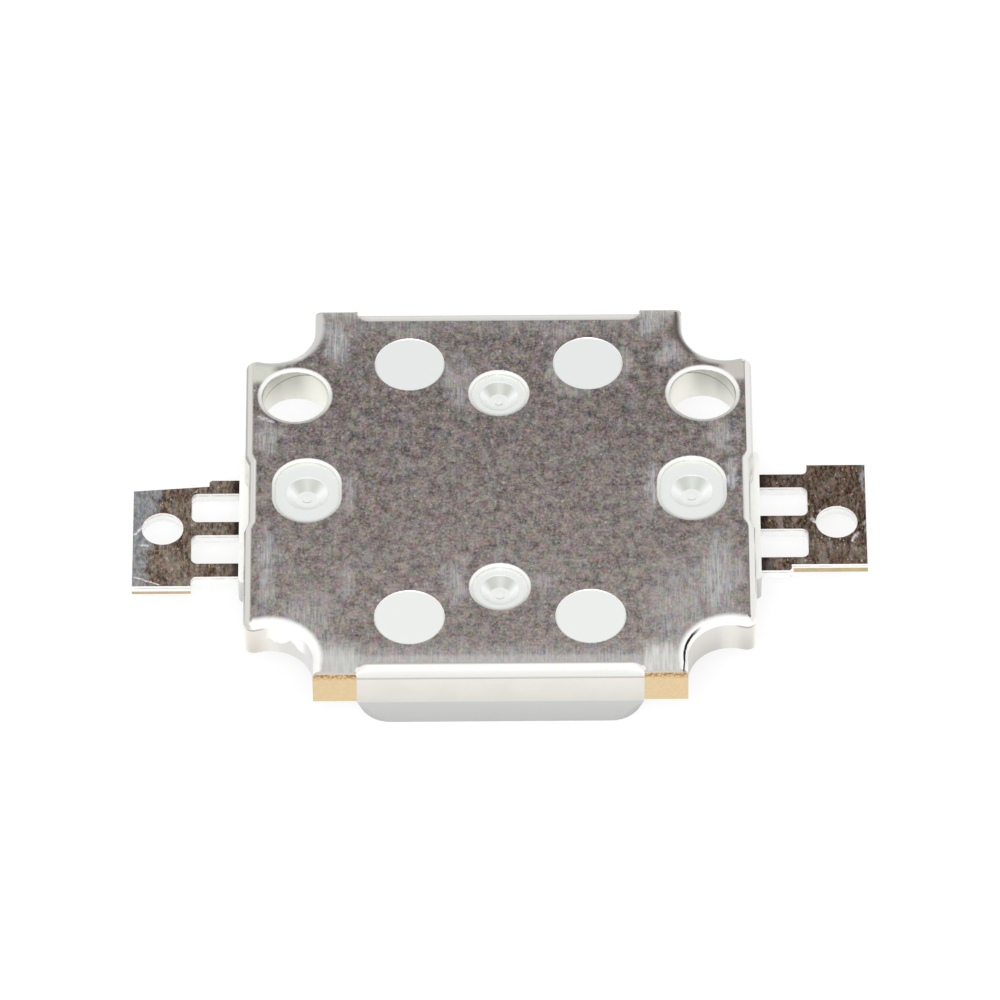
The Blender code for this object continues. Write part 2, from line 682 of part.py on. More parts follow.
def build():
    plated_copper = make_material("plated_copper", (0.33, 0.31, 0.29), 1.0, 0.38)
    white_resin = make_material("white_resin", (0.83, 0.83, 0.81), 0.0, 0.45)
    plated_lead = make_material("plated_lead", (0.42, 0.37, 0.32), 1.0, 0.36)
    led_die = make_material("led_die", (0.25, 0.33, 0.45), 0.2, 0.25)
    silver_paste = make_material("silver_paste", (0.6, 0.6, 0.6), 0.9, 0.5)
    gold_wire = make_material("gold_wire", (0.9, 0.65, 0.25), 1.0, 0.25)
    phosphor = make_material("phosphor_silicone", (0.85, 0.68, 0.1), 0.0, 0.4)

    base_plate(plated_copper)
    housing_frame(white_resin)
    lead("lead_left", -1, plated_lead)
    lead("lead_right", 1, plated_lead)
    rows = [(i - (GRID - 1) / 2) * DIE_PITCH for i in range(GRID)]
    attach_top = FRONT_Z - GLUE_GAP
    for row, y in enumerate(rows):
        for column, x in enumerate(rows):
            place = f"{row + 1}_{column + 1}"
            centred_slab(
                f"die_attach_{place}", (x, y), ATTACH_SIDE, ATTACH_LOW_Z, attach_top, silver_paste
            )
            centred_slab(f"led_die_{place}", (x, y), DIE_SIDE, DIE_LOW_Z, DIE_TOP_Z, led_die)
        string_of_wires(row, y, gold_wire)
    phosphor_fill(rows, phosphor)


build()
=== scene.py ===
"""Looks of the COB LED package that lies face-down: its metals, its white resin and what is behind it.

Lengths are in metres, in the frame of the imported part: X along the leads, +Y towards the two
through holes, +Z out of the heat-sink face. The image is taken as 1000 by 1000.
"""

import json
import math
from types import SimpleNamespace

import bmesh
import bpy
from mathutils import Matrix, Vector


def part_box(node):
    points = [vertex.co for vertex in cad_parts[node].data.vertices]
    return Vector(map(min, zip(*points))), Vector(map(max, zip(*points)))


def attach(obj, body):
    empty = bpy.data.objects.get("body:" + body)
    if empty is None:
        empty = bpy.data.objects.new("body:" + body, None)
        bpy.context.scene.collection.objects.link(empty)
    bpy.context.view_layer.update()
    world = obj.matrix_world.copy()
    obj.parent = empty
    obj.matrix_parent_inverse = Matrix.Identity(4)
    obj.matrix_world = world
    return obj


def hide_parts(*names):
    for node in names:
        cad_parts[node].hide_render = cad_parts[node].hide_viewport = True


MM = 0.001

# Camera, fitted to the corners, holes and leads in the photo
CAMERA_DISTANCE = 450 * MM
CAMERA_ELEVATION = math.radians(49.2)
CAMERA_YAW = math.radians(-0.13)
CAMERA_ROLL = math.radians(0.49)
FIELD_OF_VIEW = math.radians(4.99)
AIM_RIGHT = 0.024 * MM
AIM_UP = -0.432 * MM

# Light: an even white tent, and one soft lamp above and in front
SKY_STRENGTH = 0.74
KEY_WATTS = 1.4
KEY_SIZE = 240 * MM
KEY_PLACE = (-25 * MM, -340 * MM, 345 * MM)
FLOOR_SIZE = 3.0
FLOOR_DROP = 0.01 * MM
FLOOR_GLOW = 0.78

# Sizes of the stamped and moulded edges, as in the part's source
SIDE_ROLL = 0.34 * MM
NOTCH_ROLL_DEPTH = 0.28 * MM
NOTCH_START = 6.95 * MM
TIE_BAR_INNER_X = 5.58 * MM
RECESS_Y = 8.6 * MM
LIP_STEP = 0.3 * MM
LIP_KNEE = 1.75 * MM
DISH_LEDGE = 0.2 * MM
BODY_X = 9.9 * MM

# Fine edges that a press and a mould leave
PLATE_BROKEN_EDGE = 0.012 * MM
RESIN_BROKEN_EDGE = 0.02 * MM
SHARP_BEND = math.radians(50)
SMOOTH_BEND = math.radians(32)
FLAT_BEND = math.radians(0.3)
WELD_REACH = 0.0006 * MM

# What the resin's walls are moved out to close the clearances that stand for its bonds
BOND_GAP = 0.04 * MM

# Painted reflection line on the walls of the two round holes: its height at one distance from the middle
PAINTED_REFLECTION_LINE_X = 7.85 * MM
PAINTED_REFLECTION_LINE_Z = 3.76 * MM
PAINTED_REFLECTION_LINE_SLOPE = -0.35

# Pale wiped patches of the plate: middle, half width and half length in mm, and strength
PALE_PATCHES = [
    (-6.4, 7.9, 0.9, 1.8, 0.75),
    (-3.5, 8.3, 1.4, 0.8, 0.4),
    (-1.6, 5.6, 0.9, 2.2, 0.5),
    (-9.2, 2.6, 0.7, 1.3, 0.7),
    (-5.9, -0.2, 0.35, 1.6, 0.55),
    (-9.05, -4.0, 0.6, 3.2, 0.75),
    (-7.6, -6.9, 1.7, 2.6, 0.55),
    (-6.05, -4.7, 0.4, 1.4, 0.5),
    (-1.7, -4.8, 0.7, 1.8, 0.6),
    (-6.2, -8.6, 1.1, 1.1, 0.9),
    (2.2, 6.4, 0.4, 1.8, 0.6),
    (2.9, 5.1, 1.2, 0.5, 0.5),
    (5.1, 6.6, 0.4, 1.6, 0.55),
    (2.4, 8.3, 1.0, 0.6, 0.4),
    (6.0, 8.6, 0.8, 1.1, 0.85),
    (6.7, 7.0, 0.8, 0.9, 0.8),
    (8.7, 2.6, 0.75, 1.3, 0.65),
    (9.2, 0.7, 0.4, 1.1, 1.0),
    (6.0, 0.1, 0.4, 1.7, 0.8),
    (8.5, -4.6, 1.3, 3.2, 0.8),
    (7.0, -6.2, 1.9, 3.4, 0.5),
    (6.2, -8.6, 1.1, 1.1, 0.9),
    (1.7, -4.8, 0.5, 0.9, 0.45),
]

# Scratches on the back face and on the tabs, in mm: start, end and width
PLATE_SCRATCHES = [((-9.45, 3.85), (-8.94, 3.59), 0.12)]
LEFT_SCRATCHES = [
    ((-14.36, -0.3), (-14.05, 0.12), 0.08),
    ((-14.12, -0.86), (-13.86, -0.88), 0.09),
    ((-14.35, -2.5), (-13.37, -2.9), 0.05),
]
RIGHT_SCRATCHES = [
    ((12.3, 0.25), (12.55, 0.05), 0.12),
    ((14.08, -0.45), (13.86, -0.85), 0.1),
]

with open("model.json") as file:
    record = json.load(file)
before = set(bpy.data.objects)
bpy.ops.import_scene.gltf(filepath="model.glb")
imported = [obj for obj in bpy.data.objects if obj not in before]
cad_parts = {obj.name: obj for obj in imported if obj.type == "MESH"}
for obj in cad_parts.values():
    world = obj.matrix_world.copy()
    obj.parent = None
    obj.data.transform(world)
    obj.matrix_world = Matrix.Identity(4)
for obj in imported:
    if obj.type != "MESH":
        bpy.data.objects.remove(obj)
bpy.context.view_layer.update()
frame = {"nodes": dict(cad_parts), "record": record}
slots = {part["node"]: part["material_slot"] for part in frame["record"]["subparts"]}
plate_low, plate_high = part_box("base_plate")
BACK_Z = plate_high.z
FRONT_Z = plate_low.z
SHEAR_Y = plate_high.y
SIDE_X = plate_high.x
LEAD_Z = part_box("lead_right")[1].z


def linear(code):
    """Linear colour, with alpha, of an sRGB hex value."""
    parts = [int(code[i : i + 2], 16) / 255 for i in (0, 2, 4)]
    return (*[c / 12.92 if c <= 0.04045 else ((c + 0.055) / 1.055) ** 2.4 for c in parts], 1.0)


def add(tree, kind, inputs=None, **settings):
    """Adds a node. inputs maps a socket's name or number to a value or to another node's output."""
    node = tree.nodes.new(kind)
    for name, value in settings.items():
        setattr(node, name, value)
    for key, value in (inputs or {}).items():
        if isinstance(value, bpy.types.NodeSocket):
            tree.links.new(value, node.inputs[key])
        else:
            node.inputs[key].default_value = value
    return node


def new_material(name, roughness, metallic=0.0):
    material = bpy.data.materials.new(name)
    material.use_nodes = True
    shader = material.node_tree.nodes["Principled BSDF"]
    shader.inputs["Metallic"].default_value = metallic
    shader.inputs["Roughness"].default_value = roughness
    return material, material.node_tree, shader


def finish(tree, shader, color, gloss=None, relief=None, depth=0.0):
    """Gives the shader its colour, a roughness that varies as (pattern, low, high), and a fine relief."""
    tree.links.new(color, shader.inputs["Base Color"])
    if gloss:
        pattern, low, high = gloss
        tree.links.new(summed(tree, low, (pattern, high - low)), shader.inputs["Roughness"])
    if relief:
        bumps = add(tree, "ShaderNodeBump", {"Height": relief, "Strength": 1.0, "Distance": depth})
        tree.links.new(bumps.outputs[0], shader.inputs["Normal"])


def summed(tree, start, *terms):
    """A start value plus each term times its weight."""
    total = start
    for value, weight in terms:
        inputs = {0: value, 1: weight, 2: total}
        total = add(tree, "ShaderNodeMath", inputs, operation="MULTIPLY_ADD").outputs[0]
    return total


def share(tree, *conditions):
    """How far all the conditions hold together, from 0 to 1.

    A condition is a share itself, or a value with the limits where its share is 0 and where it is 1."""
    total = 1.0
    for condition in conditions:
        if isinstance(condition, tuple):
            value, none_at, all_at = condition
            limits = {"Value": value, "From Min": none_at, "From Max": all_at}
            step = add(tree, "ShaderNodeMapRange", limits, interpolation_type="SMOOTHSTEP")
            condition = step.outputs["Result"]
        total = add(tree, "ShaderNodeMath", {0: total, 1: condition}, operation="MULTIPLY").outputs[0]
    return total


def largest(tree, *shares):
    total = 0.0
    for one in shares:
        total = add(tree, "ShaderNodeMath", {0: total, 1: one}, operation="MAXIMUM").outputs[0]
    return total


def layered(tree, color, *layers, blend="MIX"):
    """Lays finishes over a colour, one after another. Each is the share that it covers, and its colour."""
    for covered, top in layers:
        under, over = [linear(c) if isinstance(c, str) else c for c in (color, top)]
        inputs = {0: covered, 6: under, 7: over}
        color = add(tree, "ShaderNodeMix", inputs, data_type="RGBA", blend_type=blend).outputs[2]
    return color


def lumps(tree, place, size, detail=2.0, roughness=0.5):
    """An uneven pattern, as height and as colour, whose lumps have real sizes along X, Y and Z."""
    per_lump = {0: place, 1: [1 / length for length in size]}
    scaled = add(tree, "ShaderNodeVectorMath", per_lump, operation="MULTIPLY").outputs[0]
    inputs = {"Vector": scaled, "Scale": 1.0, "Detail": detail, "Roughness": roughness}
    return add(tree, "ShaderNodeTexNoise", inputs).outputs


def grain(tree, place, size, detail=2.0, roughness=0.5):
    return lumps(tree, place, size, detail, roughness)["Fac"]


def spot_of(tree):
    """What a finish asks of a point in the part's own frame.

    side and along are its distances from the middle in X and Y, lean is 0 on a level face and 1 on an
    upright wall, and to_right goes from 0 on the left half to 1 on the right."""
    outputs = add(tree, "ShaderNodeTexCoord").outputs
    x, y, z = add(tree, "ShaderNodeSeparateXYZ", {0: outputs["Object"]}).outputs
    facing = add(tree, "ShaderNodeSeparateXYZ", {0: outputs["Normal"]}).outputs
    level = add(tree, "ShaderNodeMath", {0: facing[2], 1: facing[2]}, operation="MULTIPLY")
    steep = summed(tree, 1.0, (level.outputs[0], -1.0))
    return SimpleNamespace(
        place=outputs["Object"],
        x=x,
        y=y,
        z=z,
        facing=facing,
        side=add(tree, "ShaderNodeMath", {0: x}, operation="ABSOLUTE").outputs[0],
        along=add(tree, "ShaderNodeMath", {0: y}, operation="ABSOLUTE").outputs[0],
        lean=add(tree, "ShaderNodeMath", {0: steep}, operation="SQRT").outputs[0],
        to_right=share(tree, (x, -1 * MM, 1 * MM)),
    )


def wiped_patch(tree, place, middle, half_size):
    """1 at the middle of a level ellipse, fading to 0 at its rim."""
    half_x, half_y = half_size
    inputs = {0: place, 1: (1 / half_x, 1 / half_y, 0.0), 2: (-middle[0] / half_x, -middle[1] / half_y, 0.0)}
    away = add(tree, "ShaderNodeVectorMath", inputs, operation="MULTIPLY_ADD").outputs[0]
    distance = add(tree, "ShaderNodeVectorMath", {0: away}, operation="LENGTH").outputs["Value"]
    return share(tree, (distance, 1.0, 0.2))


def scratch_line(tree, place, start, end, width):
    """1 on a level line between two points, seen from above, and 0 away from it."""
    start = Vector((*start, 0.0))
    reach = Vector((*end, 0.0)) - start
    inputs = {0: place, 1: (1.0, 1.0, 0.0), 2: -start}
    flat = add(tree, "ShaderNodeVectorMath", inputs, operation="MULTIPLY_ADD").outputs[0]
    inputs = {0: flat, 1: reach / reach.length_squared}
    passed = add(tree, "ShaderNodeVectorMath", inputs, operation="DOT_PRODUCT").outputs["Value"]
    passed = add(tree, "ShaderNodeClamp", {"Value": passed}).outputs[0]
    nearest = add(tree, "ShaderNodeVectorMath", {0: reach, "Scale": passed}, operation="SCALE").outputs[0]
    gap = add(tree, "ShaderNodeVectorMath", {0: flat, 1: nearest}, operation="DISTANCE").outputs["Value"]
    return share(tree, (gap, width, width / 4))


def scratched(tree, spot, color, scratches, bright):
    """Scratches on the upper face, broken here and there, as a skidding edge leaves them."""
    skips = share(tree, (grain(tree, spot.place, (0.13 * MM, 0.13 * MM, 0.1 * MM)), 0.35, 0.6))
    depth = share(tree, summed(tree, 0.3, (skips, 0.6)), (spot.facing[2], 0.5, 0.7))
    loose = ragged(tree, spot.place, 0.15 * MM, 0.12 * MM)
    for (start_x, start_y), (end_x, end_y), width in scratches:
        start = (start_x * MM, start_y * MM)
        end = (end_x * MM, end_y * MM)
        line = scratch_line(tree, loose, start, end, width * MM)
        color = layered(tree, color, (share(tree, line, depth), bright))
    return color


def ragged(tree, place, size, reach):
    """The place shifted by a slow noise, so that what is laid out by it gets a ragged outline."""
    shift = lumps(tree, place, (size, size, size))["Color"]
    inputs = {0: shift, 1: (0.5, 0.5, 0.5)}
    centred = add(tree, "ShaderNodeVectorMath", inputs, operation="SUBTRACT").outputs[0]
    inputs = {0: centred, 1: (reach, reach, reach), 2: place}
    return add(tree, "ShaderNodeVectorMath", inputs, operation="MULTIPLY_ADD").outputs[0]


def tinted(tree, color, place, size, strength):
    """The colour with faint lilac, green and tan specks, as a fine plated grain splits the light."""
    specks = lumps(tree, place, (size, size, size), 2.0, 0.7)["Color"]
    return layered(tree, color, (strength, specks), blend="SOFT_LIGHT")


def nickel_plated_copper():
    """Rolled copper strip, stamped and then plated with satin nickel.

    Its face is a dull warm grey with a fine sparkle and a painted sheen towards the near edge; its
    rolled and punched edges are burnished, with a painted highlight where they face the near side and
    painted shade where they turn away, and the sheared tie bars show bare copper. The real grain is
    finer still, and is drawn at 0.1 mm so that it shows."""
    material, tree, shader = new_material("nickel_plated_copper", 0.4, 1.0)
    spot = spot_of(tree)
    sparkle = grain(tree, spot.place, (0.11 * MM, 0.13 * MM, 0.1 * MM), 3.0, 0.7)
    lines = grain(tree, spot.place, (0.07 * MM, 1.1 * MM, 1.0 * MM), 2.0, 0.6)
    copper = layered(
        tree,
        "DCC49A",
        (share(tree, (spot.z, BACK_Z - 0.45 * MM, BACK_Z - 0.15 * MM)), "AA783C"),
        (share(tree, (sparkle, 0.4, 0.7)), "E4CCA6"),
    )
    color = layered(
        tree,
        worn_face(tree, spot, sparkle, lines),
        (share(tree, (spot.lean, 0.02, 0.3)), burnished_edge_with_painted_light(tree, spot)),
        (share(tree, (spot.along, SHEAR_Y - 0.02 * MM, SHEAR_Y - 0.01 * MM)), copper),
    )
    relief = summed(tree, sparkle, (lines, 0.5))
    finish(tree, shader, color, (sparkle, 0.26, 0.46), relief, 0.004 * MM)
    return material


def worn_face(tree, spot, sparkle, lines):
    """The plate's broad face: dark grain with glints, pale wiped patches, streaks and a scratch, and a
    painted sheen towards the near edge.
    """
    clumps = grain(tree, spot.place, (0.3 * MM, 0.38 * MM, 0.3 * MM), 3.0, 0.6)
    # Painted sheen: the face's tone grows lighter towards the near side.
    nearer_painted_sheen = share(tree, (spot.y, 6 * MM, -8 * MM))
    tone = summed(tree, -0.33, (nearer_painted_sheen, 0.08), (clumps, 0.65), (sparkle, 0.82))
    glints = grain(tree, spot.place, (0.12 * MM, 0.14 * MM, 0.1 * MM), 1.0, 0.4)
    face = layered(
        tree,
        "484042",
        (share(tree, (tone, 0.11, 0.78)), "ABA29C"),
        (share(tree, (glints, 0.66, 0.8), 0.5), "E2DCD6"),
    )

    loose = ragged(tree, spot.place, 0.7 * MM, 1.3 * MM)
    # A painted sheen along the near edge, laid in with the wiped patches.
    painted_sheen_near_edge = share(tree, (spot.y, -7.4 * MM, -9.1 * MM), 0.75)
    far_side = share(tree, (spot.y, 7.6 * MM, 9.3 * MM), 0.35)
    pale = [painted_sheen_near_edge, far_side]
    for middle_x, middle_y, half_x, half_y, strength in PALE_PATCHES:
        middle = (middle_x * MM, middle_y * MM)
        patch = wiped_patch(tree, loose, middle, (half_x * MM, half_y * MM))
        pale.append(share(tree, patch, strength))
    broad_lines = grain(tree, spot.place, (0.22 * MM, 3.2 * MM, 1.0 * MM), 2.0, 0.6)
    streaks = share(tree, (lines, 0.36, 0.66), (broad_lines, 0.2, 0.6))
    # wiped carries the wiped patches and also the painted sheen along the near edge.
    wiped = share(tree, largest(tree, *pale), summed(tree, 0.3, (streaks, 0.7)))
    face = layered(tree, face, (wiped, "C9CACB"))
    face = tinted(tree, face, spot.place, 0.32 * MM, 0.45)

    tip = share(tree, (spot.side, 8.5 * MM, 9.1 * MM), (spot.y, 5.45 * MM, 5.85 * MM), 0.85)
    far_end = share(tree, (spot.y, 8.6 * MM, 9.5 * MM), 0.7)
    bar_end = share(
        tree,
        (spot.side, TIE_BAR_INNER_X - 0.1 * MM, TIE_BAR_INNER_X + 0.1 * MM),
        largest(tree, share(tree, (spot.y, -7.5 * MM, -8.6 * MM)), far_end),
        summed(tree, 0.5, (streaks, 0.45)),
    )
    face = layered(
        tree,
        face,
        (tip, layered(tree, "DCDED3", (spot.to_right, "D2CCC7"))),
        (bar_end, layered(tree, "CDCEC8", (spot.to_right, "DFE0DA"))),
        # Painted sheen on the last strip before the near recess.
        (share(tree, (spot.y, -RECESS_Y + 0.2 * MM, -RECESS_Y), 0.3), "D6D5D1"),
    )
    return scratched(tree, spot, face, PLATE_SCRATCHES, "D0D0D6")


def burnished_edge_with_painted_light(tree, spot):
    """Rolled edges, burnished, with a painted highlight where they face the near side and painted shade
    where they turn away.
    """
    steepness = largest(tree, spot.lean, 0.01)
    # away grows as a roll turns from the near side and the lamp; it sets the painted highlight and painted
    # shade below.
    inputs = {0: spot.facing[1], 1: steepness}
    away = add(tree, "ShaderNodeMath", inputs, operation="DIVIDE").outputs[0]
    near_notch = share(tree, (spot.y, -6.7 * MM, -NOTCH_START), (spot.side, 6.7 * MM, 6.8 * MM))
    far_notch = share(tree, (spot.y, 6.7 * MM, NOTCH_START), (spot.side, 6.7 * MM, 6.8 * MM))
    on_side = share(
        tree,
        (spot.side, SIDE_X - SIDE_ROLL - 0.05 * MM, SIDE_X - SIDE_ROLL),
        (spot.along, NOTCH_START, NOTCH_START - 0.1 * MM),
    )
    at_recess = share(
        tree,
        (spot.y, -8.4 * MM, -8.45 * MM),
        (spot.along, SHEAR_Y - 0.3 * MM, SHEAR_Y - 0.4 * MM),
        (spot.side, 6.0 * MM, 5.9 * MM),
    )
    # Painted highlight: the near recess edge goes from the face's dark tone at its top to white down its
    # roll.
    recess_edge = layered(
        tree, "8E8985", (share(tree, (spot.z, BACK_Z + 0.02 * MM, BACK_Z - 0.08 * MM)), "E8E7E3")
    )
    # A painted shade line along the roll of the near right notch.
    painted_shade_hairline = share(
        tree,
        near_notch,
        spot.to_right,
        (spot.side, 7.9 * MM, 7.4 * MM),
        (spot.lean, 0.37, 0.44),
        (spot.lean, 0.67, 0.6),
    )
    # White where a roll faces the near side and greyer where it turns away: painted highlight and painted
    # shade.
    return layered(
        tree,
        "F6F6F4",
        (share(tree, (away, -0.4, 0.15)), "DEDFDA"),
        (share(tree, (away, 0.2, 0.9)), "C2C2BC"),
        (near_notch, "FCFCFA"),
        (far_notch, far_notch_roll(tree, spot, away)),
        (on_side, side_roll(tree, spot)),
        (share(tree, (spot.along, SHEAR_Y - 0.14 * MM, SHEAR_Y - 0.12 * MM)), "C9C6BB"),
        (at_recess, recess_edge),
        (painted_shade_hairline, "2A2726"),
        (share(tree, (spot.lean, 0.95, 0.99)), punched_wall(tree, spot)),
    )


def far_notch_roll(tree, spot, away):
    """The rolled rim of the far notches, pale on the left and darkened on the right by painted shade."""
    at_bottom = share(tree, (away, 0.6, 0.9))
    left_roll = layered(tree, "D0CFCD", (at_bottom, "DEDEDA"))
    dark_until = summed(tree, 0.3, (at_bottom, -0.3))
    pale_from = summed(tree, 0.95, (at_bottom, -0.55))
    # Painted shade darkens the right roll where it is still near level.
    right_roll_painted_shade = layered(tree, "605A57", (share(tree, (spot.lean, dark_until, pale_from)), "D2CDC9"))
    outer_rim = layered(tree, "BAB8B4", (spot.to_right, "E4E2DF"))
    roll = layered(tree, left_roll, (spot.to_right, right_roll_painted_shade))
    return layered(tree, roll, (share(tree, (spot.lean, 0.8, 0.95)), outer_rim))


def side_roll(tree, spot):
    """The long rolls beside the leads, with a painted shade line where they start and a painted darker
    reflection where they end.
    """
    to_far = share(tree, (spot.y, -3 * MM, 2 * MM))
    left_line = layered(tree, "D0CDCA", (to_far, "B0ADAA"))
    right_line = layered(tree, "F8F7F5", (to_far, "DCDAD8"))
    # outer is a painted darker reflection on the near-upright end of the roll; inner is a painted shade line
    # where the roll starts.
    outer = share(tree, (spot.lean, 0.68, 0.8), (spot.lean, 1.22, 1.1))
    inner = share(
        tree, (spot.lean, 0.02, 0.1), (spot.lean, 0.28, 0.2), summed(tree, 0.25, (spot.to_right, 0.65))
    )
    return layered(
        tree,
        "DAD9D4",
        (spot.to_right, "EBEAE7"),
        (outer, layered(tree, left_line, (spot.to_right, right_line))),
        (inner, "6C6663"),
    )


def punched_wall(tree, spot):
    """The walls of the holes and notches, with a painted reflection line across the walls of the holes."""
    line_start = PAINTED_REFLECTION_LINE_SLOPE * PAINTED_REFLECTION_LINE_X - PAINTED_REFLECTION_LINE_Z
    off_line = summed(tree, line_start, (spot.z, 1.0), (spot.side, -PAINTED_REFLECTION_LINE_SLOPE))
    off_line = add(tree, "ShaderNodeMath", {0: off_line}, operation="ABSOLUTE").outputs[0]
    # A dark painted reflection line across the walls of the round holes.
    on_painted_reflection = share(
        tree,
        (off_line, 0.045 * MM, 0.015 * MM),
        (spot.y, 5.3 * MM, 5.4 * MM),
        (spot.y, 6.7 * MM, 6.6 * MM),
        (spot.side, 9.6 * MM, 9.4 * MM),
        0.7,
    )
    at_lip = share(
        tree,
        (spot.along, RECESS_Y - 0.15 * MM, RECESS_Y - 0.05 * MM),
        (spot.side, TIE_BAR_INNER_X + 0.3 * MM, TIE_BAR_INNER_X),
    )
    return layered(
        tree,
        "FDFCF4",
        (share(tree, (spot.z, FRONT_Z, BACK_Z)), "F4F3EA"),
        (on_painted_reflection, "A39C92"),
        (share(tree, (spot.y, -6.7 * MM, -NOTCH_START)), near_notch_wall(tree, spot)),
        (at_lip, "FDFDFB"),
    )


def near_notch_wall(tree, spot):
    """The near notches: the left one white down to a ragged line, the right one grey, with painted shade
    that darkens them towards the bottom and a painted shadow line under the roll.
    """
    # Painted shade that darkens the walls towards the bottom.
    lower_painted_shade = share(tree, (spot.z, BACK_Z - NOTCH_ROLL_DEPTH, FRONT_Z))
    ripple = grain(tree, spot.place, (0.35 * MM, 0.35 * MM, 0.8 * MM))
    white_down_to = summed(tree, -0.45 * MM, (ripple, 0.9 * MM), (spot.z, 1.0))
    left = layered(
        tree,
        "FDFDFB",
        (share(tree, (white_down_to, BACK_Z - 0.9 * MM, BACK_Z - 1.05 * MM)), "DEDCD8"),
        (share(tree, (spot.side, 8.9 * MM, 9.2 * MM)), layered(tree, "E6E1DA", (lower_painted_shade, "D6D0C8"))),
        (share(tree, (spot.side, 7.75 * MM, 7.5 * MM)), "E2E0E1"),
    )
    right = layered(tree, "DCDAD5", (lower_painted_shade, "C9C6C1"))
    roll_end = BACK_Z - NOTCH_ROLL_DEPTH
    # A painted shadow line just under the roll.
    painted_shade_under_roll = share(
        tree,
        (spot.z, roll_end - 0.08 * MM, roll_end - 0.06 * MM),
        (spot.z, roll_end + 0.02 * MM, roll_end),
        (spot.side, 9.1 * MM, 9.3 * MM),
        0.7,
    )
    return layered(tree, left, (spot.to_right, right), (painted_shade_under_roll, "8E8984"))


def moulded_white_resin():
    """Polyphthalamide filled with titanium dioxide: dense white with a soft satin skin.

    Painted light makes it faintly warm on the upright faces, greyer on the level ones and whiter on
    the side arms; painted shade makes it greyer below the knee of its lips, on the far lip's top and on
    the dishes' far slopes. It is greyer again on the posts' ends and in their dishes, which touched the
    mould's back."""
    material, tree, shader = new_material("moulded_white_resin", 0.42)
    spot = spot_of(tree)
    flow = grain(tree, spot.place, (1.4 * MM, 1.4 * MM, 1.0 * MM), 3.0, 0.55)
    skin = grain(tree, spot.place, (0.06 * MM, 0.06 * MM, 0.06 * MM), 2.0, 0.5)
    knee_z = BACK_Z - LIP_KNEE
    step_z = BACK_Z - LIP_STEP
    level = share(tree, (spot.facing[2], 0.5, 0.8))
    in_the_plate = share(
        tree,
        (spot.along, RECESS_Y - 0.3 * MM, RECESS_Y - 0.35 * MM),
        (spot.side, 9.4 * MM, 9.35 * MM),
    )
    parting_line = share(
        tree,
        (spot.z, step_z - 0.07 * MM, step_z - 0.05 * MM),
        (spot.z, step_z + 0.02 * MM, step_z),
        (spot.along, SHEAR_Y - 0.06 * MM, SHEAR_Y - 0.03 * MM),
    )
    color = layered(
        tree,
        "EFECE5",
        (share(tree, (flow, 0.3, 0.7)), "F4F1EA"),
        # Painted shade: greyer below the knee of the lips.
        (share(tree, (spot.z, knee_z + 0.06 * MM, knee_z - 0.02 * MM)), "DCDDDA"),
        # Painted light: level faces greyer and upright faces left faintly warm, set by facing.
        (level, "E1E1DE"),
        (share(tree, (spot.z, step_z - 0.02 * MM, step_z + 0.02 * MM)), "DAD9D6"),
        # Painted light: the side arms are made whiter where they lie in shade.
        (share(tree, (spot.side, BODY_X - 0.02 * MM, BODY_X)), "F5F5F3"),
        # Painted shadow on the far lip's top, behind the plate's far end.
        (share(tree, (spot.y, RECESS_Y - 0.1 * MM, RECESS_Y), level), "D6D5D1"),
        (in_the_plate, post_end(tree, spot)),
        (parting_line, "C9C4BD"),
    )
    finish(tree, shader, color, (flow, 0.36, 0.48), skin, 0.0015 * MM)
    return material


def post_end(tree, spot):
    """A post's end: flush, or sunk to a ledge with a dish whose far slope is darkened by painted shade."""
    ledge = BACK_Z - DISH_LEDGE
    # Painted shade darkens the dish's far slope, which faces the near side and the lamp.
    dish = layered(
        tree,
        "B4B9B2",
        (share(tree, (spot.facing[1], -0.6, -0.15)), "EEF0EE"),
        (share(tree, (spot.facing[2], 0.9, 0.97)), "E0E2DF"),
    )
    return layered(
        tree,
        "DEE0DE",
        (share(tree, (spot.y, -2 * MM, 2 * MM)), "D9DCDA"),
        (share(tree, (spot.z, ledge + 0.06 * MM, ledge + 0.04 * MM)), "DADDDB"),
        (share(tree, (spot.z, ledge - 0.01 * MM, ledge - 0.04 * MM)), dish),
    )


